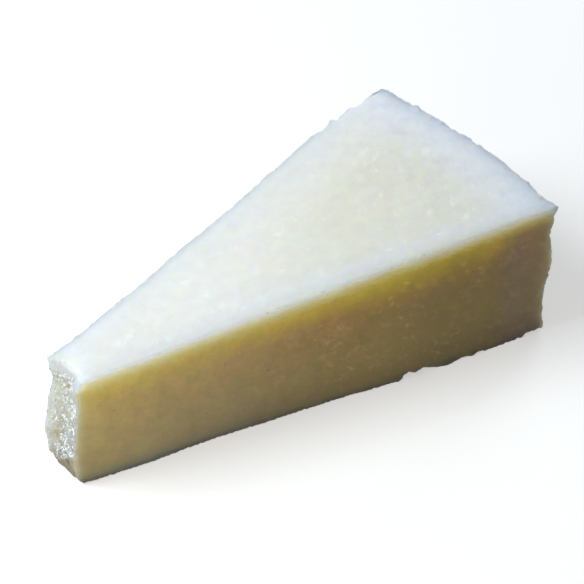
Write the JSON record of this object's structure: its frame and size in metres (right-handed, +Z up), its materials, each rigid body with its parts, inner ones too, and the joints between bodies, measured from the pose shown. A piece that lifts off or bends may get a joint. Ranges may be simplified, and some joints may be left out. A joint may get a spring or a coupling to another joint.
{
  "type": "pecorino romano chunk",
  "caption": "Wedge of hard pale sheep's-milk cheese with a craggy broken tip and a curved rind, lying on a flat cut face.",
  "frame": {"origin": "on the flat base, under the middle of the chunk's bounding box", "axes": "+X along the wedge from the broken tip to the rind, +Z up from the base, -Y out of the long cut face that the picture shows"},
  "size_m": [0.1428, 0.0756, 0.0431],
  "materials": {
    "paste": "ivory, satin and slightly waxy on the cut faces, granular with bright crystals at the broken tip"
  },
  "bodies": {
    "root": {"cheese_chunk": "paste"}
  },
  "joints": []
}
